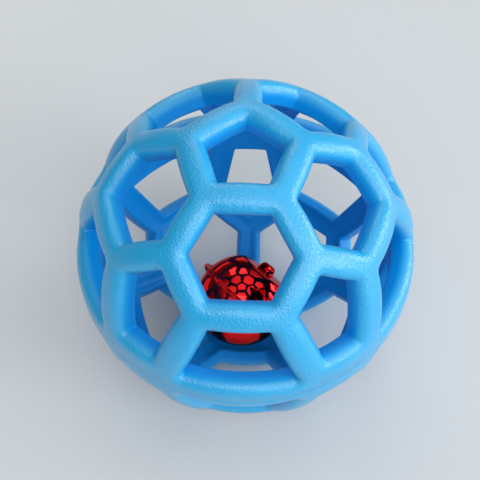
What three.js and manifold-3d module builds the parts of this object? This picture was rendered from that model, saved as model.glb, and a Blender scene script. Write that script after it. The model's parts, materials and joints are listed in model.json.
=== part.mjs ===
// Lattice play ball: two identical rubber half mouldings bonded along a wide belt,
// with a jingle bell lying loose inside. Millimetres, +Z up, standing on z = 0.

import * as THREE from 'three';
import { LoftGeometry } from 'three/addons/geometries/LoftGeometry.js';
import { mergeGeometries, mergeVertices } from 'three/addons/utils/BufferGeometryUtils.js';
import Module from 'manifold-3d';

const wasm = await Module();
wasm.setup();

// Ball
const BALL_DIAMETER = 90;
const BALL_WALL = 6.2;
const RIB_WIDTH = 8.8;
const LIP_RADIUS = 4.0;
const RIB_CREST = 0.6;
// Half of the belt's width, under the five-sided and under the four-sided holes
const BELT_UNDER_PENTAGON = 9.0;
const BELT_UNDER_WINDOW = 4.8;
const BOND_LINE = 0.3;
// Depth to which the rubber settles flat on the surface it stands on
const SETTLED_FLAT = 0.4;

// Rib junctions of one half: rings in degrees from the pole, spreads in degrees round it
const SECTORS = 5;
const POLE_RING_ANGLE = 20.1;
const SPOKE_RING_ANGLE = 40.6;
const FORK_RING_ANGLE = 55.6;
const FORK_SPREAD_ANGLE = 20.2;
const BELT_SPREAD_ANGLE = 9.1;

// Bell shells
const BELL_DIAMETER = 26.2;
const BELL_SHEET = 0.3;
const FLANGE_DIAMETER = 29.6;
// Height of the flange over the middle of the round body
const FLANGE_RISE = 1.3;
const CRIMP_CLEARANCE = 0.15;
const CROWN_FLATTENING = 2.35;
const CROWN_EDGE_RADIUS = 3.0;
const STAR_COUNT = 3;
const STAR_POINTS = 5;
const STAR_TIP_RADIUS = 3.6;
const STAR_VALLEY_RADIUS = 1.9;
const STAR_ELEVATION = 23.6;
const STAR_AZIMUTH = 95.1;

// Hanging loop and pellet of the bell
const LOOP_SPAN = 4.2;
const LOOP_HEIGHT = 2.5;
const LOOP_AZIMUTH = 64.2;
const STRAP_WIDTH = 3.0;
const STRAP_THICKNESS = 0.6;
const FOOT_LENGTH = 1.8;
const SLOT_CLEARANCE = 0.3;
const PELLET_DIAMETER = 6.4;
const PELLET_CLEARANCE = 0.3;

// How the bell lies in the ball: leaning over, off the ball's axis, just clear of the ribs
const BELL_LEAN = 60.7;
const BELL_HEADING = 45.6;
const BELL_OFFSET_X = -1.1;
const BELL_OFFSET_Y = -2.0;
const BELL_SEAT_GAP = 0.3;

// Fineness of the faceted solids, and of the search for the bell's seat
const RIB_STEPS = 4;
const LIP_STEPS = 4;
const TURN_STEPS = 32;
const ARC_STEPS = 6;
const EDGE_STEPS = 3;
const SEAT_GRID = 4;
const SEAT_PRECISION = 0.001;

const ballRadius = BALL_DIAMETER / 2;
const innerRadius = ballRadius - BALL_WALL;
const beltHeight = BOND_LINE / 2;
const lipRadius = Math.min(LIP_RADIUS, (RIB_WIDTH - RIB_CREST) / 2, BALL_WALL);
const bellRadius = BELL_DIAMETER / 2;
const bellInnerRadius = bellRadius - BELL_SHEET;
const crownHeight = bellRadius - CROWN_FLATTENING;
const crownInnerHeight = crownHeight - BELL_SHEET;
const radians = THREE.MathUtils.degToRad;

// Finishes

function finish(color, roughness, metalness) {
  return new THREE.MeshStandardMaterial({ color, roughness, metalness });
}

const blueRubber = () => finish(0x2196dd, 0.6, 0.0);
const redLacquer = () => finish(0xd1161c, 0.15, 0.9);
const brightSteel = () => finish(0xb9bcc0, 0.3, 1.0);

// Welding, cutting and naming of solids

function weld(geometry) {
  geometry.deleteAttribute('normal');
  geometry.deleteAttribute('uv');
  const welded = mergeVertices(geometry);
  const corners = welded.index.array;
  const kept = [];
  for (let i = 0; i < corners.length; i += 3) {
    const [a, b, c] = corners.subarray(i, i + 3);
    if (a !== b && b !== c && c !== a) kept.push(a, b, c);
  }
  welded.setIndex(kept);
  return welded;
}

function solidOf(geometry) {
  const welded = weld(geometry.clone());
  const vertProperties = new Float32Array(welded.attributes.position.array);
  const triVerts = new Uint32Array(welded.index.array);
  return new wasm.Manifold(new wasm.Mesh({ numProp: 3, vertProperties, triVerts }));
}

function cut(geometry, tools) {
  const mesh = tools.reduce((rest, tool) => rest.subtract(solidOf(tool)), solidOf(geometry)).getMesh();
  const result = new THREE.BufferGeometry();
  result.setAttribute('position', new THREE.BufferAttribute(mesh.vertProperties, 3));
  result.setIndex(new THREE.BufferAttribute(mesh.triVerts, 1));
  return result;
}

function piece(name, geometry, material) {
  geometry.computeVertexNormals();
  const mesh = new THREE.Mesh(geometry, material);
  mesh.name = name;
  return mesh;
}

// Rib junctions: azimuth 0 faces -Y and grows towards +X, and belt junctions lie on the bond plane

function latticeJunctions() {
  const junctions = {};
  for (let k = 0; k < SECTORS; k++) {
    const azimuth = (360 / SECTORS) * (k + 0.5);
    junctions[`pole${k}`] = { ring: POLE_RING_ANGLE, azimuth };
    junctions[`spoke${k}`] = { ring: SPOKE_RING_ANGLE, azimuth };
    junctions[`forkLeft${k}`] = { ring: FORK_RING_ANGLE, azimuth: azimuth - FORK_SPREAD_ANGLE };
    junctions[`forkRight${k}`] = { ring: FORK_RING_ANGLE, azimuth: azimuth + FORK_SPREAD_ANGLE };
    junctions[`beltLeft${k}`] = { azimuth: azimuth - BELT_SPREAD_ANGLE };
    junctions[`beltRight${k}`] = { azimuth: azimuth + BELT_SPREAD_ANGLE };
  }
  return junctions;
}

const junctions = latticeJunctions();
const onBelt = (name) => name.startsWith('belt');

function pointAround(azimuth, reach, height) {
  const turn = radians(azimuth);
  return new THREE.Vector3(reach * Math.sin(turn), -reach * Math.cos(turn), height);
}

function beltPoint(azimuth, radius) {
  return pointAround(azimuth, Math.sqrt(radius ** 2 - beltHeight ** 2), beltHeight);
}

function junctionPoint(name, radius) {
  const { ring, azimuth } = junctions[name];
  if (onBelt(name)) return beltPoint(azimuth, radius);
  return pointAround(azimuth, radius * Math.sin(radians(ring)), radius * Math.cos(radians(ring)));
}

// Turn from one azimuth to another, the short way round
function turnBetween(from, to) {
  return THREE.MathUtils.euclideanModulo(to - from + 180, 360) - 180;
}

// Points along a rib's centre line at one radius, the end left out. A rib is always worked out
// from the same end, so that the two holes beside it share its points exactly.
function ribLine(from, to, radius) {
  const [first, last] = [from, to].sort();
  const start = junctionPoint(first, radius);
  const end = junctionPoint(last, radius);
  const line = [];
  for (let i = 0; i <= RIB_STEPS; i++) {
    const share = i / RIB_STEPS;
    if (onBelt(first) && onBelt(last)) {
      const firstAzimuth = junctions[first].azimuth;
      line.push(beltPoint(firstAzimuth + share * turnBetween(firstAzimuth, junctions[last].azimuth), radius));
    } else {
      const angle = start.angleTo(end);
      const point = start.clone().multiplyScalar(Math.sin((1 - share) * angle) / Math.sin(angle));
      line.push(point.addScaledVector(end, Math.sin(share * angle) / Math.sin(angle)));
    }
  }
  if (first !== from) line.reverse();
  return line.slice(0, RIB_STEPS);
}

// Holes of one half, each as its corner junctions counter-clockwise from outside

function latticeHoles() {
  const holes = [{ corners: Array.from({ length: SECTORS }, (_, k) => `pole${k}`) }];
  for (let k = 0; k < SECTORS; k++) {
    const n = (k + 1) % SECTORS;
    const hexagon = [`spoke${k}`, `forkRight${k}`, `forkLeft${n}`, `spoke${n}`, `pole${n}`, `pole${k}`];
    const pentagon = [`spoke${k}`, `forkLeft${k}`, `beltLeft${k}`, `beltRight${k}`, `forkRight${k}`];
    const window = [`forkRight${k}`, `beltRight${k}`, `beltLeft${n}`, `forkLeft${n}`];
    holes.push({ corners: hexagon });
    holes.push({ corners: pentagon, belt: BELT_UNDER_PENTAGON });
    holes.push({ corners: window, belt: BELT_UNDER_WINDOW });
  }
  return holes;
}

// Outline with every side moved inwards by its own margin
function insetOutline(outline, margins) {
  const inward = outline.map((corner, i) => {
    const side = outline[(i + 1) % outline.length].clone().sub(corner).normalize();
    return new THREE.Vector2(-side.y, side.x);
  });
  return outline.map((corner, i) => {
    const before = (i + outline.length - 1) % outline.length;
    const [p, q] = [inward[before], inward[i]];
    const spread = p.cross(q);
    const moveX = (margins[before] * q.y - margins[i] * p.y) / spread;
    const moveY = (margins[i] * p.x - margins[before] * q.x) / spread;
    return new THREE.Vector2(corner.x + moveX, corner.y + moveY);
  });
}

// Skin of the rubber round one hole: outer face, rounded lip, straight wall and inner face
function holeSkin({ corners, belt }) {
  const points = corners.map((name) => junctionPoint(name, ballRadius));
  const axis = points.reduce((sum, point) => sum.add(point), new THREE.Vector3()).normalize();
  const across = points[0].clone().addScaledVector(axis, -points[0].dot(axis)).normalize();
  const along = new THREE.Vector3().crossVectors(axis, across);
  const outline = points.map((point) => new THREE.Vector2(point.dot(across), point.dot(along)));
  const nextOf = (i) => (i + 1) % corners.length;
  const sideOnBelt = (i) => onBelt(corners[i]) && onBelt(corners[nextOf(i)]);
  const margins = corners.map((_, i) => (sideOnBelt(i) ? belt : RIB_WIDTH / 2));

  const centreLines = (radius) => corners.flatMap((name, i) => ribLine(name, corners[nextOf(i)], radius));
  const ringAt = (setback, radius) => {
    const inset = insetOutline(outline, margins.map((margin) => margin - setback));
    return inset.flatMap((corner, i) => Array.from({ length: RIB_STEPS }, (_, step) => {
      const flat = corner.clone().lerp(inset[nextOf(i)], step / RIB_STEPS);
      const point = axis.clone().multiplyScalar(Math.sqrt(radius ** 2 - flat.lengthSq()));
      return point.addScaledVector(across, flat.x).addScaledVector(along, flat.y);
    }));
  };

  const sections = [centreLines(ballRadius)];
  for (let step = 0; step <= LIP_STEPS; step++) {
    const turn = (step / LIP_STEPS) * (Math.PI / 2);
    sections.push(ringAt(lipRadius * (1 - Math.sin(turn)), ballRadius - lipRadius * (1 - Math.cos(turn))));
  }
  sections.push(ringAt(0, innerRadius), centreLines(innerRadius));
  return new LoftGeometry(sections);
}

// Flat face of the belt that is bonded to the other half
function bondFace() {
  const beltLine = (radius) => Array.from({ length: SECTORS }, (_, k) => [
    ...ribLine(`beltLeft${k}`, `beltRight${k}`, radius),
    ...ribLine(`beltRight${k}`, `beltLeft${(k + 1) % SECTORS}`, radius),
  ]).flat();
  return new LoftGeometry([beltLine(innerRadius), beltLine(ballRadius)]);
}

function ballHalf() {
  return weld(mergeGeometries([...latticeHoles().map(holeSkin), bondFace()]));
}

// Bell shells: closed profiles of radius and height, turned round the bell's axis

const arc = (x, y, radius, from, to, steps = ARC_STEPS) => Array.from({ length: steps + 1 }, (_, i) => {
  const angle = from + (to - from) * (i / steps);
  return new THREE.Vector2(x + radius * Math.cos(angle), y + radius * Math.sin(angle));
});

function turned(profile) {
  return new THREE.LatheGeometry(profile, TURN_STEPS).rotateX(Math.PI / 2);
}

// The crimp: the base shell's flange is rolled round the crown shell's flange
const crownFlange = BELL_SHEET / 2;
const rollInside = crownFlange + CRIMP_CLEARANCE;
const rollOutside = rollInside + BELL_SHEET;
const rollCentre = FLANGE_DIAMETER / 2 - rollOutside;

function crownProfile() {
  const edgeHeight = crownHeight - CROWN_EDGE_RADIUS;
  const edgeReach = Math.sqrt((bellRadius - CROWN_EDGE_RADIUS) ** 2 - edgeHeight ** 2);
  const edgeAngle = Math.atan2(edgeHeight, edgeReach);
  const insideFoot = Math.asin((FLANGE_RISE - crownFlange) / bellInnerRadius);
  const outsideFoot = Math.asin((FLANGE_RISE + crownFlange) / bellRadius);
  return [
    new THREE.Vector2(0, crownInnerHeight),
    ...arc(edgeReach, edgeHeight, CROWN_EDGE_RADIUS - BELL_SHEET, Math.PI / 2, edgeAngle, EDGE_STEPS),
    ...arc(0, 0, bellInnerRadius, edgeAngle, insideFoot).slice(1),
    new THREE.Vector2(rollCentre, FLANGE_RISE - crownFlange),
    new THREE.Vector2(rollCentre, FLANGE_RISE + crownFlange),
    ...arc(0, 0, bellRadius, outsideFoot, edgeAngle),
    ...arc(edgeReach, edgeHeight, CROWN_EDGE_RADIUS, edgeAngle, Math.PI / 2, EDGE_STEPS).slice(1),
    new THREE.Vector2(0, crownHeight),
  ];
}

function baseProfile() {
  const returnEdge = bellRadius + CRIMP_CLEARANCE;
  const outsideTop = Math.asin((FLANGE_RISE - rollOutside) / bellRadius);
  const insideTop = Math.asin((FLANGE_RISE - rollInside) / bellInnerRadius);
  const outside = arc(0, 0, bellRadius, -Math.PI / 2, outsideTop);
  const inside = arc(0, 0, bellInnerRadius, insideTop, -Math.PI / 2);
  return [
    new THREE.Vector2(0, -bellRadius),
    ...outside.slice(1),
    ...arc(rollCentre, FLANGE_RISE, rollOutside, -Math.PI / 2, Math.PI / 2),
    new THREE.Vector2(returnEdge, FLANGE_RISE + rollOutside),
    new THREE.Vector2(returnEdge, FLANGE_RISE + rollInside),
    ...arc(rollCentre, FLANGE_RISE, rollInside, Math.PI / 2, -Math.PI / 2),
    ...inside.slice(0, -1),
    new THREE.Vector2(0, -bellInnerRadius),
  ];
}

// Punch for one star cut-out, a tip pointing at the crown
function starPunch(azimuth) {
  const tips = Array.from({ length: 2 * STAR_POINTS }, (_, i) => {
    const angle = Math.PI / 2 + (i * Math.PI) / STAR_POINTS;
    const reach = i % 2 === 0 ? STAR_TIP_RADIUS : STAR_VALLEY_RADIUS;
    return new THREE.Vector2(reach * Math.cos(angle), reach * Math.sin(angle));
  });
  const star = new THREE.Shape(tips);
  const punch = new THREE.ExtrudeGeometry(star, { depth: bellRadius, bevelEnabled: false });
  return punch.translate(0, 0, bellRadius / 2).rotateX(Math.PI / 2 - radians(STAR_ELEVATION))
    .rotateZ(Math.PI / 2 + azimuth);
}

function loopSlot() {
  const length = LOOP_SPAN + 2 * SLOT_CLEARANCE;
  const width = STRAP_WIDTH + 2 * SLOT_CLEARANCE;
  return new THREE.BoxGeometry(length, width, crownHeight).translate(0, 0, crownHeight)
    .rotateZ(radians(LOOP_AZIMUTH));
}

function crownShell() {
  const stars = Array.from({ length: STAR_COUNT }, (_, i) => (
    starPunch(radians(STAR_AZIMUTH + (360 / STAR_COUNT) * i))
  ));
  return cut(turned(crownProfile()), [loopSlot(), ...stars]);
}

// Strap bent into an arch, its feet splayed under the crown
function hangingLoop() {
  const outer = LOOP_SPAN / 2;
  const inner = outer - STRAP_THICKNESS;
  const spring = crownHeight + LOOP_HEIGHT - outer;
  const footTop = crownInnerHeight - SLOT_CLEARANCE;
  const footBottom = footTop - STRAP_THICKNESS;
  const toe = outer + FOOT_LENGTH;
  const strap = new THREE.Shape();
  strap.moveTo(-toe, footBottom);
  strap.lineTo(-inner, footBottom);
  strap.absarc(0, spring, inner, Math.PI, 0, true);
  strap.lineTo(inner, footBottom);
  strap.lineTo(toe, footBottom);
  strap.lineTo(toe, footTop);
  strap.lineTo(outer, footTop);
  strap.absarc(0, spring, outer, 0, Math.PI, false);
  strap.lineTo(-outer, footTop);
  strap.lineTo(-toe, footTop);
  const bend = { depth: STRAP_WIDTH, bevelEnabled: false, curveSegments: 2 * ARC_STEPS };
  const bent = new THREE.ExtrudeGeometry(strap, bend).translate(0, 0, -STRAP_WIDTH / 2);
  return weld(bent.rotateX(Math.PI / 2).rotateZ(radians(LOOP_AZIMUTH)));
}

// Resting place of the bell: it sinks upright down until it would touch the ribs under it

const bellTurn = new THREE.Euler(0, radians(BELL_LEAN), radians(BELL_HEADING), 'ZYX');

const bellCentre = (drop) => new THREE.Vector3(BELL_OFFSET_X, BELL_OFFSET_Y, -drop);

// Points spread over the ribs round the bottom hole, in the ball's frame
function bottomRibPoints(half) {
  const positions = half.attributes.position;
  const corner = (i) => new THREE.Vector3().fromBufferAttribute(positions, half.index.array[i]);
  const points = [];
  for (let i = 0; i < half.index.count; i += 3) {
    const [a, b, c] = [corner(i), corner(i + 1), corner(i + 2)];
    if (Math.min(a.z, b.z, c.z) < innerRadius * Math.cos(radians(SPOKE_RING_ANGLE))) continue;
    for (let u = 0; u <= SEAT_GRID; u++) {
      for (let v = 0; u + v <= SEAT_GRID; v++) {
        const point = a.clone().lerp(b, u / SEAT_GRID).addScaledVector(c.clone().sub(a), v / SEAT_GRID);
        points.push(point.setZ(-point.z));
      }
    }
  }
  return points;
}

function bellDrop(half) {
  const points = bottomRibPoints(half);
  const backTurn = new THREE.Matrix4().makeRotationFromEuler(bellTurn).transpose();
  const clears = (drop) => points.every((point) => {
    const local = point.clone().sub(bellCentre(drop)).applyMatrix4(backTurn);
    const pastRoll = Math.max(Math.hypot(local.x, local.y) - FLANGE_DIAMETER / 2, 0);
    const pastFlange = Math.hypot(pastRoll, Math.max(Math.abs(local.z - FLANGE_RISE) - rollOutside, 0));
    return Math.min(local.length() - bellRadius, pastFlange) >= BELL_SEAT_GAP;
  });
  let [free, touching] = [0, innerRadius];
  while (touching - free > SEAT_PRECISION) {
    const middle = (free + touching) / 2;
    if (clears(middle)) free = middle;
    else touching = middle;
  }
  return free;
}

// Assembly

const half = ballHalf();
half.computeBoundingBox();
const standHeight = half.boundingBox.max.z - SETTLED_FLAT;
const floorCut = new THREE.BoxGeometry(BALL_DIAMETER, BALL_DIAMETER, BALL_WALL)
  .translate(0, 0, standHeight + BALL_WALL / 2);

const upperHalf = piece('ball_upper_half', half, blueRubber());
const lowerHalf = piece('ball_lower_half', cut(half, [floorCut]), blueRubber());
lowerHalf.rotation.y = Math.PI;

const bell = new THREE.Group();
bell.add(piece('bell_crown_shell', crownShell(), redLacquer()));
bell.add(piece('bell_base_shell', weld(turned(baseProfile())), redLacquer()));
bell.add(piece('bell_loop', hangingLoop(), redLacquer()));
bell.position.copy(bellCentre(bellDrop(half)));
bell.rotation.copy(bellTurn);

const pelletBall = new THREE.SphereGeometry(PELLET_DIAMETER / 2, TURN_STEPS / 2, 2 * ARC_STEPS);
const pellet = piece('bell_pellet', weld(pelletBall), brightSteel());
const pelletSink = bellInnerRadius - PELLET_DIAMETER / 2 - PELLET_CLEARANCE;
pellet.position.copy(bell.position).add(new THREE.Vector3(0, 0, -pelletSink));

const ball = new THREE.Group();
ball.add(upperHalf, lowerHalf, bell, pellet);
ball.position.z = standHeight;

export default ball;
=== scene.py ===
"""Looks of a lattice play ball with a jingle bell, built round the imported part.

Meshes are drawn in millimetres about their own centre, then placed in the row frame in metres.
"""

import json
import logging
import math
from dataclasses import dataclass, field
from enum import Enum
from typing import Any, Iterable

import bmesh
import bpy
from bmesh.types import BMEdge, BMesh, BMFace, BMVert
from mathutils import Matrix, Vector
from mathutils.geometry import intersect_point_tri_2d


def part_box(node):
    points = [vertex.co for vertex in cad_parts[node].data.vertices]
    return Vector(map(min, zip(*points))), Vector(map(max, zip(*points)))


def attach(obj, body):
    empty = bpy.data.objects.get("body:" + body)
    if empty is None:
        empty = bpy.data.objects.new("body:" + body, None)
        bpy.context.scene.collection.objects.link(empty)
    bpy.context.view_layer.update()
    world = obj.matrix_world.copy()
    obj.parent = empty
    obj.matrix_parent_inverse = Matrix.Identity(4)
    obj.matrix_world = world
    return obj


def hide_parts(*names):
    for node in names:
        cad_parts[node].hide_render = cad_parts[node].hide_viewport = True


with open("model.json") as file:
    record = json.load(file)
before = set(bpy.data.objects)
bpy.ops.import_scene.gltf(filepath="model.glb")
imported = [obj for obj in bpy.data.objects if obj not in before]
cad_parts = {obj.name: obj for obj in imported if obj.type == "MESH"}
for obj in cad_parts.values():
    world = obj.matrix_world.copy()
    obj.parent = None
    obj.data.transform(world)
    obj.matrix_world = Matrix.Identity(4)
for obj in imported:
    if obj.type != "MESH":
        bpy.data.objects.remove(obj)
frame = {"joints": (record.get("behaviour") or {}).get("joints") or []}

MM = 0.001
IMAGE_SIDE = 480
MERGE_MM = 0.01
CUT_TOLERANCE_MM = 1e-5
CREASE_DEGREES = 40.0
LOG = logging.getLogger("lattice_ball")


def linear(colour: str) -> tuple[float, float, float, float]:
    """Turns an sRGB hex colour to the linear values that a shader takes.

    Args:
        colour: Six hex digits after a #.

    Returns:
        Linear red, green, blue and an alpha of 1.
    """
    shares = [int(colour[i : i + 2], 16) / 255 for i in (1, 3, 5)]
    red, green, blue = (
        share / 12.92 if share <= 0.04045 else ((share + 0.055) / 1.055) ** 2.4
        for share in shares
    )
    return red, green, blue, 1.0


def add_node(
    tree: bpy.types.NodeTree,
    kind: str,
    inputs: dict[str | int, Any] | None = None,
    **settings: Any,
) -> bpy.types.Node:
    """Adds a node with its settings, values and links.

    Args:
        tree: Node tree that takes the node.
        kind: Type name of the node.
        inputs: A value, or an output socket to link, for each input.
        settings: Properties of the node itself.

    Returns:
        The new node.
    """
    node = tree.nodes.new(kind)
    for name, value in settings.items():
        setattr(node, name, value)
    for key, value in (inputs or {}).items():
        if isinstance(value, bpy.types.NodeSocket):
            tree.links.new(value, node.inputs[key])
        else:
            node.inputs[key].default_value = value
    return node


def new_material(name: str) -> tuple[bpy.types.Material, bpy.types.NodeTree]:
    """Makes an empty node material.

    Args:
        name: Common name of the real material.

    Returns:
        The material and its node tree.
    """
    material = bpy.data.materials.new(name)
    material.use_nodes = True
    material.node_tree.nodes.clear()
    return material, material.node_tree


def per_metre(size_mm: float) -> float:
    """Texture scale at which one feature is that many millimetres wide."""
    return 1.0 / (size_mm * MM)


@dataclass(frozen=True)
class RubberFinish:
    """Thermoplastic rubber, moulded in a tool whose outer face is eroded to a grain.

    The smooth walls of the holes and the inner faces carry a deeper even blue, painted shade of
    the recesses;
    the outer face is a paler blue with a broad waxy sheen that a fine pebbled grain breaks up into
    sparkles.
    """

    # Painted shade: a deeper blue for the walls and inner faces of the holes, standing in for the
    # shade of the recesses
    painted_shade_wall_colour: str = "#0090DE"
    face_colour: str = "#0AA0DA"
    flow_colour: str = "#10A5DE"
    flow_mm: float = 22.0
    flow_detail: float = 2.0
    face_from_mm: float = 40.8
    face_full_mm: float = 43.6
    grain_mm: float = 0.55
    grain_depth_mm: float = 0.11
    grain_smoothness: float = 0.6
    roughness: float = 0.4
    ior: float = 1.5
    specular_level: float = 0.22
    sheen_roughness: float = 0.36
    sheen_ior: float = 1.62

    def material(self, centre: Vector) -> bpy.types.Material:
        """Makes the node material.

        Args:
            centre: Centre of the ball, from which the outer face is told from the walls.

        Returns:
            The material.
        """
        material, tree = new_material("moulded_thermoplastic_rubber")
        place = add_node(tree, "ShaderNodeTexCoord").outputs["Object"]
        flow = add_node(
            tree,
            "ShaderNodeTexNoise",
            {
                "Vector": place,
                "Scale": per_metre(self.flow_mm),
                "Detail": self.flow_detail,
            },
        )
        face = add_node(
            tree,
            "ShaderNodeMix",
            {
                "Factor": flow.outputs["Fac"],
                6: linear(self.face_colour),
                7: linear(self.flow_colour),
            },
            data_type="RGBA",
        )
        reach = add_node(tree, "ShaderNodeVectorMath", {0: place, 1: centre}, operation="DISTANCE")
        outside = add_node(
            tree,
            "ShaderNodeMapRange",
            {
                "Value": reach.outputs["Value"],
                "From Min": self.face_from_mm * MM,
                "From Max": self.face_full_mm * MM,
            },
        )
        # Painted shade: below the outer face, on the walls and inner faces, the colour turns to
        # the deeper wall blue
        blue = add_node(
            tree,
            "ShaderNodeMix",
            {
                "Factor": outside.outputs["Result"],
                6: linear(self.painted_shade_wall_colour),
                7: face.outputs[2],
            },
            data_type="RGBA",
        )
        # The real grain is finer; it is drawn about two pixels wide so that it shows
        grain = add_node(
            tree,
            "ShaderNodeTexVoronoi",
            {
                "Vector": place,
                "Scale": per_metre(self.grain_mm),
                "Smoothness": self.grain_smoothness,
            },
            feature="SMOOTH_F1",
        )
        bump = add_node(
            tree,
            "ShaderNodeBump",
            {
                "Height": grain.outputs["Distance"],
                "Strength": outside.outputs["Result"],
                "Distance": self.grain_depth_mm * MM,
            },
        )
        shader = add_node(
            tree,
            "ShaderNodeBsdfPrincipled",
            {
                "Base Color": blue.outputs[2],
                "Roughness": self.roughness,
                "Normal": bump.outputs["Normal"],
                "IOR": self.ior,
                "Specular IOR Level": self.specular_level,
                "Coat Weight": outside.outputs["Result"],
                "Coat Roughness": self.sheen_roughness,
                "Coat IOR": self.sheen_ior,
                "Coat Normal": bump.outputs["Normal"],
            },
        )
        add_node(tree, "ShaderNodeOutputMaterial", {"Surface": shader.outputs[0]})
        return material


@dataclass(frozen=True)
class LacquerFinish:
    """Pressed steel, polished and dipped in red transparent lacquer.

    The eye sees red mirror images of what is round the bell, under a thin clear gloss that
    ripples a little.
    """

    colour: str = "#EE1A1E"
    edge_colour: str = "#D83A40"
    ripple_mm: float = 3.5
    ripple_depth_mm: float = 0.25
    ripple_strength: float = 0.5
    ripple_detail: float = 1.0
    roughness: float = 0.05
    coat: float = 0.2
    coat_roughness: float = 0.03

    def material(self) -> bpy.types.Material:
        """Makes the node material."""
        material, tree = new_material("red_lacquered_steel")
        place = add_node(tree, "ShaderNodeTexCoord").outputs["Object"]
        ripple = add_node(
            tree,
            "ShaderNodeTexNoise",
            {
                "Vector": place,
                "Scale": per_metre(self.ripple_mm),
                "Detail": self.ripple_detail,
            },
        )
        bump = add_node(
            tree,
            "ShaderNodeBump",
            {
                "Height": ripple.outputs["Fac"],
                "Strength": self.ripple_strength,
                "Distance": self.ripple_depth_mm * MM,
            },
        )
        shader = add_node(
            tree,
            "ShaderNodeBsdfPrincipled",
            {
                "Base Color": linear(self.colour),
                "Metallic": 1.0,
                "Roughness": self.roughness,
                "Specular Tint": linear(self.edge_colour),
                "Coat Weight": self.coat,
                "Coat Roughness": self.coat_roughness,
                "Normal": bump.outputs["Normal"],
            },
        )
        add_node(tree, "ShaderNodeOutputMaterial", {"Surface": shader.outputs[0]})
        return material


@dataclass(frozen=True)
class SteelFinish:
    """Tumbled steel: a grey satin ball with small dents from rattling."""

    colour: str = "#B9BCC0"
    dent_mm: float = 1.2
    dent_depth_mm: float = 0.03
    dent_strength: float = 0.4
    roughness: float = 0.32

    def material(self) -> bpy.types.Material:
        """Makes the node material."""
        material, tree = new_material("tumbled_steel")
        place = add_node(tree, "ShaderNodeTexCoord").outputs["Object"]
        dents = add_node(
            tree,
            "ShaderNodeTexVoronoi",
            {"Vector": place, "Scale": per_metre(self.dent_mm)},
        )
        bump = add_node(
            tree,
            "ShaderNodeBump",
            {
                "Height": dents.outputs["Distance"],
                "Strength": self.dent_strength,
                "Distance": self.dent_depth_mm * MM,
            },
        )
        shader = add_node(
            tree,
            "ShaderNodeBsdfPrincipled",
            {
                "Base Color": linear(self.colour),
                "Metallic": 1.0,
                "Roughness": self.roughness,
                "Normal": bump.outputs["Normal"],
            },
        )
        add_node(tree, "ShaderNodeOutputMaterial", {"Surface": shader.outputs[0]})
        return material


@dataclass(frozen=True)
class FloorFinish:
    """Smooth pale card: an even matte ground."""

    colour: str = "#C8CDD0"
    roughness: float = 0.9

    def material(self) -> bpy.types.Material:
        """Makes the node material."""
        material, tree = new_material("pale_card")
        shader = add_node(
            tree,
            "ShaderNodeBsdfPrincipled",
            {"Base Color": linear(self.colour), "Roughness": self.roughness},
        )
        add_node(tree, "ShaderNodeOutputMaterial", {"Surface": shader.outputs[0]})
        return material


def make_piece(
    bm: BMesh, name: str, place: Matrix, material: bpy.types.Material
) -> bpy.types.Object:
    """Turns a finished bmesh into an object at the origin, its place in its mesh.

    Args:
        bm: Mesh in millimetres, which is freed.
        name: Name of the piece.
        place: Turn and place in the row frame, in metres.
        material: Finish of the whole piece.

    Returns:
        The new object.
    """
    bmesh.ops.transform(bm, matrix=place @ Matrix.Scale(MM, 4), verts=bm.verts)
    mesh = bpy.data.meshes.new(name)
    bm.to_mesh(mesh)
    bm.free()
    mesh.shade_smooth()
    mesh.set_sharp_from_angle(angle=math.radians(CREASE_DEGREES))
    mesh.materials.append(material)
    piece = bpy.data.objects.new(name, mesh)
    bpy.context.scene.collection.objects.link(piece)
    return piece


def once(geometry: Iterable[Any]) -> list[Any]:
    """Each member once, in the order of its first place."""
    return list(dict.fromkeys(geometry))


def verts_of(geometry: Iterable[BMEdge | BMFace]) -> list[BMVert]:
    """Vertices of these edges or faces, each once, in order."""
    return once(vert for member in geometry for vert in member.verts)


def only(kind: type, geometry: Iterable[Any]) -> list[Any]:
    """The members of one kind, such as BMVert, of an operator's result."""
    return [g for g in geometry if isinstance(g, kind)]


def round_edges(bm: BMesh, edges: list[BMEdge], radius: float, segments: int) -> None:
    """Rounds edges over.

    Args:
        bm: Mesh to change.
        edges: Edges to round.
        radius: Setback on each side, in millimetres.
        segments: Facets across the rounding.
    """
    bmesh.ops.bevel(
        bm,
        geom=edges,
        offset=radius,
        offset_type="OFFSET",
        affect="EDGES",
        segments=segments,
        profile=0.5,
        material=-1,
        clamp_overlap=False,
    )


class Hole(Enum):
    """Kinds of hole in the lattice."""

    POLE = "pole"
    HEXAGON = "hexagon"
    PENTAGON = "pentagon"
    WINDOW = "window"


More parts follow.
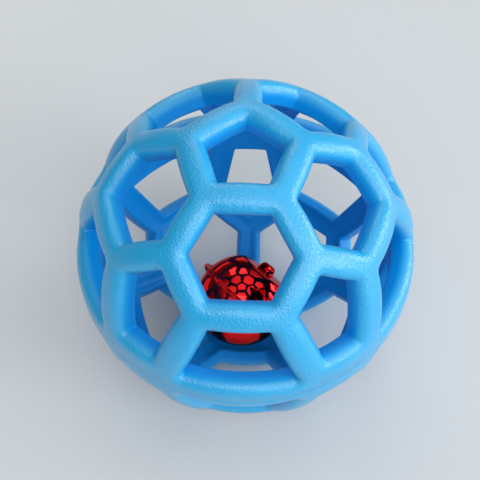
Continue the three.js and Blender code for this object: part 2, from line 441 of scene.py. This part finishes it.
@dataclass
class LatticeBall:
    """Two rubber lattice halves, bonded along a wide belt."""

    finish: RubberFinish
    diameter: float = 90.0
    wall: float = 6.2
    rib_width: float = 8.8
    lip_radius: float = 4.0
    corner_setback: float = 0.4
    inner_edge_radius: float = 0.4
    collar_width: float = 1.0
    collar_slope: float = 0.8
    collar_height: float = 0.45
    seam_radius: float = 0.08
    sectors: int = 5
    pole_ring: float = 20.1
    spoke_ring: float = 40.6
    fork_ring: float = 55.6
    belt_ring: float = 90.0
    fork_spread: float = 20.2
    belt_spread: float = 9.1
    belt: dict[Hole, float] = field(
        default_factory=lambda: {Hole.PENTAGON: 9.0, Hole.WINDOW: 4.8}
    )
    rib_cuts: int = 7
    corner_steps: int = 4
    lip_steps: int = 8
    seam_steps: int = 2

    @property
    def radius(self) -> float:
        """Radius of the outer face."""
        return self.diameter / 2

    @property
    def inner_radius(self) -> float:
        """Radius of the collars inside."""
        return self.radius - self.wall

    @property
    def centre(self) -> Vector:
        """Centre of the ball in the row frame, midway between the two bonded faces."""
        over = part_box("ball_upper_half")[0].z
        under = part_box("ball_lower_half")[1].z
        return Vector((0.0, 0.0, (over + under) / 2))

    def _junction(self, ring: float, azimuth: float) -> Vector:
        """Rib junction, by its angle from the pole and its turn from the front to the right."""
        drop, turn = math.radians(ring), math.radians(azimuth)
        reach = self.radius * math.sin(drop)
        return Vector(
            (
                reach * math.sin(turn),
                -reach * math.cos(turn),
                self.radius * math.cos(drop),
            )
        )

    def _holes(self) -> list[tuple[Hole, list[Vector]]]:
        """Holes of the upper half, each with its corner junctions."""
        step = 360 / self.sectors
        turns = [step * (k + 0.5) for k in range(self.sectors)]
        at = self._junction
        fork, belt = self.fork_spread, self.belt_spread
        holes = [(Hole.POLE, [at(self.pole_ring, turn) for turn in turns])]
        for here in turns:
            there = here + step
            spoke_here, spoke_there = at(self.spoke_ring, here), at(self.spoke_ring, there)
            fork_here = at(self.fork_ring, here + fork)
            fork_there = at(self.fork_ring, there - fork)
            belt_here = at(self.belt_ring, here + belt)
            belt_there = at(self.belt_ring, there - belt)
            pole_here, pole_there = at(self.pole_ring, here), at(self.pole_ring, there)
            hexagon = [spoke_here, fork_here, fork_there, spoke_there, pole_there, pole_here]
            fork_left = at(self.fork_ring, here - fork)
            belt_left = at(self.belt_ring, here - belt)
            pentagon = [spoke_here, fork_left, belt_left, belt_here, fork_here]
            window = [fork_here, belt_here, belt_there, fork_there]
            holes += [(Hole.HEXAGON, hexagon), (Hole.PENTAGON, pentagon), (Hole.WINDOW, window)]
        return holes

    @staticmethod
    def _seat(vert: BMVert, axis: Vector, radius: float) -> None:
        """Moves a vertex along a hole's axis until it lies at that radius."""
        across = vert.co - axis * vert.co.dot(axis)
        vert.co = across + axis * math.sqrt(radius**2 - across.length_squared)

    @staticmethod
    def _raise_belt_side(corners: list[BMVert], rise: float) -> None:
        """Slides the two lowest corners of a hole up along its sides.

        Args:
            corners: Corners of the hole, in order round it.
            rise: How far the side between them moves, square to itself.
        """
        count = len(corners)
        low = sorted(range(count), key=lambda i: corners[i].co.z)[:2]
        side = (corners[low[1]].co - corners[low[0]].co).normalized()
        moves = {}
        for i in low:
            other = next(j % count for j in (i - 1, i + 1) if j % count not in low)
            along = (corners[other].co - corners[i].co).normalized()
            square = (along - side * along.dot(side)).length
            moves[i] = along * (rise / square)
        for i, move in moves.items():
            corners[i].co += move

    @staticmethod
    def _outward(rim: list[BMEdge], axis: Vector) -> dict[BMVert, Vector]:
        """Direction away from a hole, square to its axis, at each vertex of its rim."""
        away = {vert: Vector() for vert in verts_of(rim)}
        middle = sum((vert.co for vert in away), Vector()) / len(away)
        for edge in rim:
            start, end = edge.verts
            square = (end.co - start.co).cross(axis).normalized()
            side = math.copysign(1.0, square.dot(start.co - middle))
            for vert in edge.verts:
                away[vert] += square * side
        return {vert: sway.normalized() for vert, sway in away.items()}

    def _edge_profile(self) -> list[tuple[float, float]]:
        """Setback from the wall and depth under the outer face, from lip to collar."""
        lip, small = self.lip_radius, self.inner_edge_radius
        turns = [math.pi / 2 * i / self.lip_steps for i in range(self.lip_steps + 1)]
        rounding = [(lip * (1 - math.sin(t)), lip * (1 - math.cos(t))) for t in turns]
        foot = self.wall - small
        edge = [(small * (1 - math.cos(t)), foot + small * math.sin(t)) for t in turns[::2]]
        collar = [
            (self.collar_width, self.wall),
            (self.collar_width + self.collar_slope, self.wall - self.collar_height),
        ]
        return rounding + edge + collar

    def _hem(self, bm: BMesh, rim: list[BMEdge], axis: Vector) -> list[BMEdge]:
        """Rolls the lip of a hole over and carries its wall down to the collar inside.

        Args:
            bm: Patch that holds the rim.
            rim: Outline of the hole, which becomes the outer edge of the lip.
            axis: Axis of the hole.

        Returns:
            The last ring of edges, at the foot of the collar.
        """
        ring = rim
        origin = {vert: (vert.co.copy(), way) for vert, way in self._outward(rim, axis).items()}
        for i, (setback, depth) in enumerate(self._edge_profile()):
            if i > 0:
                grown = bmesh.ops.extrude_edge_only(bm, edges=ring)["geom"]
                carried = {}
                for vert in only(BMVert, grown):
                    near = (edge.other_vert(vert) for edge in vert.link_edges)
                    carried[vert] = next(origin[other] for other in near if other in origin)
                origin = carried
                ring = [e for e in only(BMEdge, grown) if all(v in origin for v in e.verts)]
            for vert, (point, way) in origin.items():
                vert.co = point + way * setback
                self._seat(vert, axis, self.radius - depth)
        return ring

    def _patch(self, hole: Hole, corners: list[Vector]) -> BMesh:
        """Makes the rubber round one hole, out to the middle lines of the ribs.

        Args:
            hole: Kind of hole.
            corners: Junctions of the ribs round it.

        Returns:
            Mesh with the outer face, the lip, the wall and the inner face.
        """
        bm = bmesh.new()
        opening = bm.faces.new([bm.verts.new(corner) for corner in corners])
        bm.normal_update()
        axis = sum(corners, Vector()).normalized()
        bmesh.ops.duplicate(bm, geom=opening.verts[:] + opening.edges[:])
        bmesh.ops.inset_individual(
            bm, faces=[opening], thickness=self.rib_width / 2, use_even_offset=True
        )
        ribs = [face for face in bm.faces if face != opening]
        bmesh.ops.delete(bm, geom=ribs, context="FACES")
        if hole in self.belt:
            self._raise_belt_side(opening.verts[:], self.belt[hole] - self.rib_width / 2)
        bmesh.ops.bevel(
            bm,
            geom=opening.verts[:],
            offset=self.corner_setback,
            offset_type="OFFSET",
            affect="VERTICES",
            segments=self.corner_steps,
            profile=0.5,
            material=-1,
        )

        longest_facet = 2 * self.corner_setback
        sides = [e for e in bm.edges if e.is_boundary and e.calc_length() > longest_facet]
        bmesh.ops.subdivide_edges(bm, edges=sides, cuts=self.rib_cuts)
        middle_lines = [e for e in bm.edges if e.is_wire]
        bmesh.ops.subdivide_edges(bm, edges=middle_lines, cuts=self.rib_cuts + self.corner_steps)
        middle_lines = [e for e in bm.edges if e.is_wire]
        for vert in verts_of(middle_lines):
            vert.co = vert.co.normalized() * self.radius
        lining = bmesh.ops.duplicate(bm, geom=verts_of(middle_lines) + middle_lines)["geom"]
        shrink = (self.inner_radius + self.collar_height) / self.radius
        bmesh.ops.scale(bm, vec=(shrink,) * 3, verts=only(BMVert, lining))

        rim = [e for e in bm.edges if e.is_boundary]
        bmesh.ops.delete(bm, geom=bm.faces[:], context="FACES_ONLY")
        inner_ring = self._hem(bm, rim, axis)
        bmesh.ops.bridge_loops(bm, edges=rim + middle_lines)
        bmesh.ops.bridge_loops(bm, edges=inner_ring + only(BMEdge, lining))
        bmesh.ops.recalc_face_normals(bm, faces=bm.faces)
        return bm

    def _half(self) -> BMesh:
        """Makes the upper half, closed by its bonded face."""
        half = bmesh.new()
        for hole, corners in self._holes():
            patch = self._patch(hole, corners)
            mesh = bpy.data.meshes.new("patch")
            patch.to_mesh(mesh)
            patch.free()
            half.from_mesh(mesh)
            bpy.data.meshes.remove(mesh)
        bmesh.ops.remove_doubles(half, verts=half.verts, dist=MERGE_MM)
        bond = [e for e in half.edges if e.is_boundary]
        bmesh.ops.bridge_loops(half, edges=bond)
        bmesh.ops.recalc_face_normals(half, faces=half.faces)
        outside = self.radius - self.wall / 2
        seam = [
            e
            for e in half.edges
            if all(abs(v.co.z) < MERGE_MM and v.co.length > outside for v in e.verts)
        ]
        round_edges(half, seam, self.seam_radius, self.seam_steps)
        return half

    def _settle(self, half: BMesh) -> None:
        """Turns a half over and flattens it where it stands on the floor."""
        bmesh.ops.scale(half, vec=(1, 1, -1), verts=half.verts)
        bmesh.ops.reverse_faces(half, faces=half.faces)
        floor = -self.centre.z / MM
        for vert in half.verts:
            vert.co.z = max(vert.co.z, floor)

    def build(self) -> list[bpy.types.Object]:
        """Builds both halves on the ball's body.

        Returns:
            The upper and the lower half.
        """
        upper = self._half()
        lower = upper.copy()
        self._settle(lower)
        rubber = self.finish.material(self.centre)
        place = Matrix.Translation(self.centre)
        pieces = []
        for name, half in (("upper", upper), ("lower", lower)):
            piece = make_piece(half, f"lattice_{name}_half", place, rubber)
            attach(piece, "ball")
            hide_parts(f"ball_{name}_half")
            pieces.append(piece)
        return pieces


@dataclass
class Outline:
    """A line drawn in the x-z plane, point after point."""

    bm: BMesh
    tip: BMVert

    @classmethod
    def start(cls, x: float, z: float) -> "Outline":
        """Begins an outline at a point."""
        bm = bmesh.new()
        return cls(bm, bm.verts.new((x, 0.0, z)))

    def line(self, x: float, z: float) -> "Outline":
        """Goes on straight to a point."""
        self.tip = bmesh.ops.extrude_vert_indiv(self.bm, verts=[self.tip])["verts"][0]
        self.tip.co = (x, 0.0, z)
        return self

    def sweep(self, x: float, z: float, degrees: float, steps: int) -> "Outline":
        """Goes on along an arc round a centre, counter-clockwise where degrees is positive."""
        swept = bmesh.ops.spin(
            self.bm,
            geom=[self.tip],
            cent=(x, 0.0, z),
            axis=(0.0, -1.0, 0.0),
            angle=math.radians(degrees),
            steps=steps,
        )
        self.tip = only(BMVert, swept["geom_last"])[0]
        return self

    def turn(self, steps: int) -> BMesh:
        """Turns the outline once round the z axis and merges the seam and the poles."""
        bm = self.bm
        bmesh.ops.spin(
            bm,
            geom=bm.verts[:] + bm.edges[:],
            cent=(0.0, 0.0, 0.0),
            axis=(0.0, 0.0, 1.0),
            angle=2 * math.pi,
            steps=steps,
            use_merge=True,
        )
        bmesh.ops.remove_doubles(bm, verts=bm.verts, dist=MERGE_MM)
        bmesh.ops.recalc_face_normals(bm, faces=bm.faces)
        return bm


@dataclass
class JingleBell:
    """Red bell of two crimped shells, with a strap loop and a pellet inside."""

    shell_finish: LacquerFinish
    pellet_finish: SteelFinish
    diameter: float = 26.2
    sheet: float = 0.3
    flange_diameter: float = 29.6
    flange_rise: float = 1.3
    roll_radius: float = 0.5
    roll_bore: float = 0.25
    lip_fillet: float = 0.35
    lip_gap: float = 0.05
    crown_height: float = 10.75
    crown_edge_radius: float = 3.0
    star_count: int = 3
    star_points: int = 5
    star_tip: float = 3.8
    star_valley: float = 2.0
    star_elevation: float = 23.6
    star_azimuth: float = 95.1
    star_roll: tuple[tuple[float, float], ...] = (
        (0.96, 0.04),
        (0.92, 0.14),
        (0.89, 0.3),
        (0.88, 0.5),
    )
    cut_margin: float = 1.0
    loop_span: float = 4.2
    loop_height: float = 2.5
    loop_azimuth: float = 64.2
    strap_width: float = 3.0
    strap_thickness: float = 0.6
    strap_edge_radius: float = 0.15
    strap_corner: float = 60.0
    foot_length: float = 1.8
    slot_clearance: float = 0.3
    pellet_diameter: float = 6.4
    pellet_band: float = 5.0
    turn_steps: int = 160
    dome_steps: int = 40
    crown_edge_steps: int = 12
    bowl_steps: int = 48
    roll_steps: int = 16
    fillet_steps: int = 6
    roll_bore_steps: int = 8
    lining_steps: int = 32
    arch_steps: int = 20
    strap_edge_steps: int = 3
    pellet_steps: int = 20
    pellet_turn_steps: int = 48

    @property
    def radius(self) -> float:
        """Radius of the round body."""
        return self.diameter / 2

    def _place(self) -> Matrix:
        """Turn and place of the bell, read from the pellet's joint: its z axis is the bell's."""
        joint = next(j for j in frame["joints"] if j["name"] == "pellet_roll")
        axis = Vector(joint["axis"]).normalized()
        low_side = (axis * axis.z - Vector((0, 0, 1))).normalized()
        turn = Matrix((low_side, axis.cross(low_side), axis)).transposed()
        return Matrix.Translation(Vector(joint["pos_m"])) @ turn.to_4x4()

    def _cut_out(self, bm: BMesh, outline: list[Vector], place: Matrix) -> list[BMVert]:
        """Cuts a flat outline through the sheet.

        Args:
            bm: Sheet to cut.
            outline: Corners of the cut-out, flat, in order.
            place: Turns the outline's plane to its place; the cut runs along its z axis.

        Returns:
            Vertices on the edge of the cut-out.
        """
        back = place.inverted()
        reach = max(corner.length for corner in outline) + self.cut_margin
        near = [
            f
            for f in bm.faces
            if (back @ f.calc_center_median()).xy.length < reach
            and (back @ f.calc_center_median()).z > 0
        ]
        cut = near + once(e for f in near for e in f.edges) + verts_of(near)
        turn = place.to_3x3()
        for a, b in zip(outline, outline[1:] + outline[:1]):
            side = turn @ (b - a)
            cut = bmesh.ops.bisect_plane(
                bm,
                geom=cut,
                dist=CUT_TOLERANCE_MM,
                plane_co=place @ a,
                plane_no=side.cross(turn @ Vector((0, 0, 1))),
            )["geom"]
        flat = [corner.xy for corner in outline]
        fans = list(zip(flat, flat[1:] + flat[:1]))
        waste = []
        for face in only(BMFace, cut):
            point = back @ face.calc_center_median()
            inside = any(
                intersect_point_tri_2d(point.xy, Vector((0, 0)), a, b) for a, b in fans
            )
            if inside and point.z > 0:
                waste.append(face)
        rim = verts_of(waste)
        bmesh.ops.delete(bm, geom=waste, context="FACES")
        return [v for v in rim if v.is_valid]

    def _star(self) -> list[Vector]:
        """Flat outline of a star cut-out, a tip along +Y."""
        corners = []
        for i in range(2 * self.star_points):
            turn = math.pi / 2 + i * math.pi / self.star_points
            reach = self.star_valley if i % 2 else self.star_tip
            corners.append(Vector((reach * math.cos(turn), reach * math.sin(turn), 0.0)))
        return corners

    def _punch_star(self, bm: BMesh, azimuth: float) -> None:
        """Punches one star through the crown shell and turns its edge in."""
        tilt = Matrix.Rotation(math.radians(90 - self.star_elevation), 4, "X")
        place = Matrix.Rotation(math.radians(90 + azimuth), 4, "Z") @ tilt
        rim = self._cut_out(bm, self._star(), place)
        edges = once(e for v in rim for e in v.link_edges if e.is_boundary)
        back = place.inverted()
        flat = {v: back @ v.co for v in rim}
        for scale, drop in self.star_roll:
            turned_in = bmesh.ops.extrude_edge_only(bm, edges=edges)["geom"]
            fresh = only(BMVert, turned_in)
            lifted = {}
            for vert in fresh:
                # Each new vertex still lies on the one it came from
                source = min(flat, key=lambda v: (v.co - vert.co).length_squared)
                lifted[vert] = flat[source]
            for vert, start in lifted.items():
                vert.co = place @ Vector((start.x * scale, start.y * scale, start.z - drop))
            edges = [e for e in only(BMEdge, turned_in) if all(v in lifted for v in e.verts)]
            flat = lifted

    def _slot(self) -> list[Vector]:
        """Flat outline of the loop's slot in the crown."""
        x = self.loop_span / 2 + self.slot_clearance
        y = self.strap_width / 2 + self.slot_clearance
        return [Vector((x, y, 0)), Vector((-x, y, 0)), Vector((-x, -y, 0)), Vector((x, -y, 0))]

    def _crown_shell(self) -> BMesh:
        """Makes the crown shell's outer skin with its stars and its slot."""
        edge_z = self.crown_height - self.crown_edge_radius
        edge_x = math.sqrt((self.radius - self.crown_edge_radius) ** 2 - edge_z**2)
        edge_angle = math.degrees(math.atan2(edge_z, edge_x))
        flange_top = self.flange_rise + self.sheet / 2
        foot = math.asin(flange_top / self.radius)
        roll_centre = self.flange_diameter / 2 - self.roll_radius
        outline = Outline.start(roll_centre, flange_top)
        outline.line(self.radius * math.cos(foot), flange_top)
        outline.sweep(0, 0, edge_angle - math.degrees(foot), self.dome_steps)
        outline.sweep(edge_x, edge_z, 90 - edge_angle, self.crown_edge_steps)
        outline.line(edge_x / 2, self.crown_height)
        outline.line(0, self.crown_height)
        bm = outline.turn(self.turn_steps)
        for i in range(self.star_count):
            self._punch_star(bm, self.star_azimuth + i * 360 / self.star_count)
        turn = Matrix.Rotation(math.radians(self.loop_azimuth), 4, "Z")
        self._cut_out(bm, self._slot(), turn)
        return bm

    def _base_shell(self) -> BMesh:
        """Makes the base shell, its flange rolled over the crown shell's."""
        middle, rise = self.flange_diameter / 2 - self.roll_radius, self.flange_rise
        under, over = rise - self.roll_radius, rise + self.roll_radius
        inner = self.radius - self.sheet
        outer_top = math.asin(under / self.radius)
        inner_top = math.asin((rise - self.roll_bore) / inner)
        lip = math.sqrt(self.radius**2 - over**2) + self.lip_gap
        outline = Outline.start(0, -self.radius)
        outline.sweep(0, 0, 90 + math.degrees(outer_top), self.bowl_steps)
        outline.line(middle, under).sweep(middle, rise, 180, self.roll_steps)
        outline.line(lip + self.lip_fillet, over)
        outline.sweep(lip + self.lip_fillet, over + self.lip_fillet, -90, self.fillet_steps)
        outline.line(lip, rise + self.roll_bore).line(middle, rise + self.roll_bore)
        outline.sweep(middle, rise, -180, self.roll_bore_steps)
        outline.line(inner * math.cos(inner_top), rise - self.roll_bore)
        outline.sweep(0, 0, -90 - math.degrees(inner_top), self.lining_steps)
        return outline.turn(self.turn_steps)

    def _loop(self) -> BMesh:
        """Makes the strap, bent into an arch with its feet splayed under the crown."""
        outer = self.loop_span / 2
        inner = outer - self.strap_thickness
        spring = self.crown_height + self.loop_height - outer
        foot_top = self.crown_height - self.sheet - self.slot_clearance
        foot_bottom = foot_top - self.strap_thickness
        toe = outer + self.foot_length
        outline = Outline.start(toe, foot_bottom).line(toe, foot_top).line(outer, foot_top)
        outline.line(outer, spring).sweep(0, spring, 180, self.arch_steps)
        outline.line(-outer, foot_top)
        outline.line(-toe, foot_top).line(-toe, foot_bottom).line(-inner, foot_bottom)
        outline.line(-inner, spring).sweep(0, spring, -180, self.arch_steps)
        outline.line(inner, foot_bottom)
        bm = outline.bm
        side = bm.faces.new(bm.verts[:])
        bmesh.ops.translate(bm, vec=(0, -self.strap_width / 2, 0), verts=bm.verts)
        swept = bmesh.ops.extrude_face_region(bm, geom=[side])["geom"]
        bmesh.ops.translate(bm, vec=(0, self.strap_width, 0), verts=only(BMVert, swept))
        bmesh.ops.recalc_face_normals(bm, faces=bm.faces)
        corner = math.radians(self.strap_corner)
        sharp = [e for e in bm.edges if e.calc_face_angle(0.0) > corner]
        round_edges(bm, sharp, self.strap_edge_radius, self.strap_edge_steps)
        turn = Matrix.Rotation(math.radians(self.loop_azimuth), 4, "Z")
        bmesh.ops.transform(bm, matrix=turn, verts=bm.verts)
        return bm

    def _pellet(self) -> BMesh:
        """Makes the pellet: a headed steel ball with a flat band worn round its middle."""
        slope = 90 - self.pellet_band
        outline = Outline.start(0, -self.pellet_diameter / 2)
        outline.sweep(0, 0, slope, self.pellet_steps)
        outline.line(outline.tip.co.x, -outline.tip.co.z)
        outline.sweep(0, 0, slope, self.pellet_steps)
        return outline.turn(self.pellet_turn_steps)

    def build(self) -> list[bpy.types.Object]:
        """Builds the shells, the loop and the pellet on their bodies.

        Returns:
            The four pieces.
        """
        place = self._place()
        lacquer = self.shell_finish.material()
        crown = make_piece(self._crown_shell(), "crown_shell", place, lacquer)
        sheet = crown.modifiers.new("sheet", "SOLIDIFY")
        sheet.thickness = self.sheet * MM
        sheet.offset = -1.0
        pieces = [crown]
        for name, bm in (("base_shell", self._base_shell()), ("loop", self._loop())):
            pieces.append(make_piece(bm, name, place, lacquer))
        for piece in pieces:
            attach(piece, "bell")
            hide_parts(f"bell_{piece.name}")
        low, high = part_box("bell_pellet")
        pellet = make_piece(
            self._pellet(),
            "pellet",
            Matrix.Translation((low + high) / 2),
            self.pellet_finish.material(),
        )
        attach(pellet, "pellet")
        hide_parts("bell_pellet")
        return pieces + [pellet]


def look_direction(azimuth: float, elevation: float) -> Vector:
    """Unit vector from the ball towards a place, by its turn from the front and its height."""
    turn, lift = math.radians(azimuth), math.radians(elevation)
    return Vector(
        (math.sin(turn) * math.cos(lift), -math.cos(turn) * math.cos(lift), math.sin(lift))
    )


@dataclass(frozen=True)
class Softbox:
    """A square studio lamp that faces the ball."""

    name: str
    azimuth: float
    elevation: float
    distance: float
    side: float
    power: float

    def build(self, target: Vector) -> None:
        """Hangs the lamp, facing a target."""
        lamp = bpy.data.lights.new(self.name, "AREA")
        lamp.size = self.side
        lamp.energy = self.power
        holder = bpy.data.objects.new(self.name, lamp)
        towards = look_direction(self.azimuth, self.elevation)
        holder.location = target + towards * self.distance
        holder.rotation_mode = "QUATERNION"
        holder.rotation_quaternion = towards.to_track_quat("Z", "Y")
        bpy.context.scene.collection.objects.link(holder)


@dataclass(frozen=True)
class Glow:
    """A bright patch of the surroundings, such as a window, that fades out from its middle."""

    azimuth: float
    elevation: float
    full: float
    end: float
    strength: float

    def light(
        self, tree: bpy.types.NodeTree, direction: bpy.types.NodeSocket
    ) -> bpy.types.NodeSocket:
        """Adds the patch to a world.

        Args:
            tree: Node tree of the world.
            direction: Direction that is looked in.

        Returns:
            Brightness of the patch in that direction.
        """
        nearness = add_node(
            tree,
            "ShaderNodeVectorMath",
            {0: direction, 1: look_direction(self.azimuth, self.elevation)},
            operation="DOT_PRODUCT",
        )
        share = add_node(
            tree,
            "ShaderNodeMapRange",
            {
                "Value": nearness.outputs["Value"],
                "From Min": math.cos(math.radians(self.end)),
                "From Max": math.cos(math.radians(self.full)),
                "To Max": self.strength,
            },
            interpolation_type="SMOOTHSTEP",
        )
        return share.outputs["Result"]


@dataclass
class Studio:
    """Pale floor, soft light and the camera at the viewing angle of the photograph."""

    target: Vector
    floor_finish: FloorFinish
    floor_side: float = 8.0
    sky: str = "#FFFFFF"
    sky_strength: float = 0.1
    glows: tuple[Glow, ...] = (
        Glow(azimuth=60.0, elevation=70.0, full=18.0, end=75.0, strength=0.86),
        Glow(azimuth=66.0, elevation=20.0, full=8.0, end=17.0, strength=7.4),
        Glow(azimuth=108.0, elevation=12.0, full=8.0, end=17.0, strength=6.6),
    )
    lamps: tuple[Softbox, ...] = (
        Softbox("key", azimuth=0.0, elevation=58.0, distance=1.2, side=0.6, power=3.2),
        Softbox("front_fill", azimuth=25.0, elevation=24.0, distance=1.2, side=0.6, power=2.4),
        Softbox("back_fill", azimuth=-170.0, elevation=32.0, distance=1.2, side=0.7, power=2.8),
    )
    camera_azimuth: float = 2.59
    camera_elevation: float = 58.156
    camera_roll: float = -0.414
    camera_distance: float = 0.27847
    focal_pixels: float = 1034.8
    ball_pixel: tuple[float, float] = (245.275, 247.157)
    sensor_mm: float = 36.0
    nearest: float = 0.01

    def _camera(self) -> None:
        """Sets up the camera so that the ball's centre falls on its pixel."""
        camera = bpy.data.cameras.new("camera")
        camera.sensor_width = self.sensor_mm
        camera.lens = self.focal_pixels * self.sensor_mm / IMAGE_SIDE
        camera.shift_x = (IMAGE_SIDE / 2 - self.ball_pixel[0]) / IMAGE_SIDE
        camera.shift_y = (self.ball_pixel[1] - IMAGE_SIDE / 2) / IMAGE_SIDE
        camera.clip_start = self.nearest
        holder = bpy.data.objects.new("camera", camera)
        back = look_direction(self.camera_azimuth, self.camera_elevation)
        turn = math.radians(self.camera_azimuth)
        right = Vector((math.cos(turn), math.sin(turn), 0.0))
        level = Matrix((right, back.cross(right), back)).transposed()
        roll = Matrix.Rotation(math.radians(self.camera_roll), 3, "Z")
        place = Matrix.Translation(self.target + back * self.camera_distance)
        holder.matrix_world = place @ (level @ roll).to_4x4()
        bpy.context.scene.collection.objects.link(holder)
        bpy.context.scene.camera = holder

    def _floor(self) -> None:
        """Lays the floor just under the ball."""
        bm = bmesh.new()
        bmesh.ops.create_grid(bm, x_segments=1, y_segments=1, size=self.floor_side / 2 / MM)
        bmesh.ops.translate(bm, vec=(0, 0, -MERGE_MM), verts=bm.verts)
        floor = make_piece(bm, "floor", Matrix.Identity(4), self.floor_finish.material())

    def _sky(self) -> None:
        """Lights the scene from dim surroundings with their bright patches."""
        world = bpy.data.worlds.new("studio")
        world.use_nodes = True
        tree = world.node_tree
        tree.nodes.clear()
        direction = add_node(tree, "ShaderNodeTexCoord").outputs["Generated"]
        strength = self.sky_strength
        for glow in self.glows:
            both = {0: glow.light(tree, direction), 1: strength}
            strength = add_node(tree, "ShaderNodeMath", both, operation="ADD").outputs["Value"]
        shade = add_node(
            tree,
            "ShaderNodeBackground",
            {"Color": linear(self.sky), "Strength": strength},
        )
        add_node(tree, "ShaderNodeOutputWorld", {"Surface": shade.outputs[0]})
        bpy.context.scene.world = world

    def build(self) -> None:
        """Sets up the floor, the light and the camera."""
        self._floor()
        self._sky()
        for lamp in self.lamps:
            lamp.build(self.target)
        self._camera()
        bpy.context.scene.view_settings.view_transform = "Standard"


def main() -> None:
    """Builds the ball, the bell and the studio, and logs each piece's face count."""
    logging.basicConfig(level=logging.INFO)
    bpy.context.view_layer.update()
    ball = LatticeBall(RubberFinish())
    bell = JingleBell(LacquerFinish(), SteelFinish())
    for piece in ball.build() + bell.build():
        LOG.info("%s: %d faces", piece.name, len(piece.data.polygons))
    Studio(ball.centre, FloorFinish()).build()


if __name__ == "__main__":
    main()
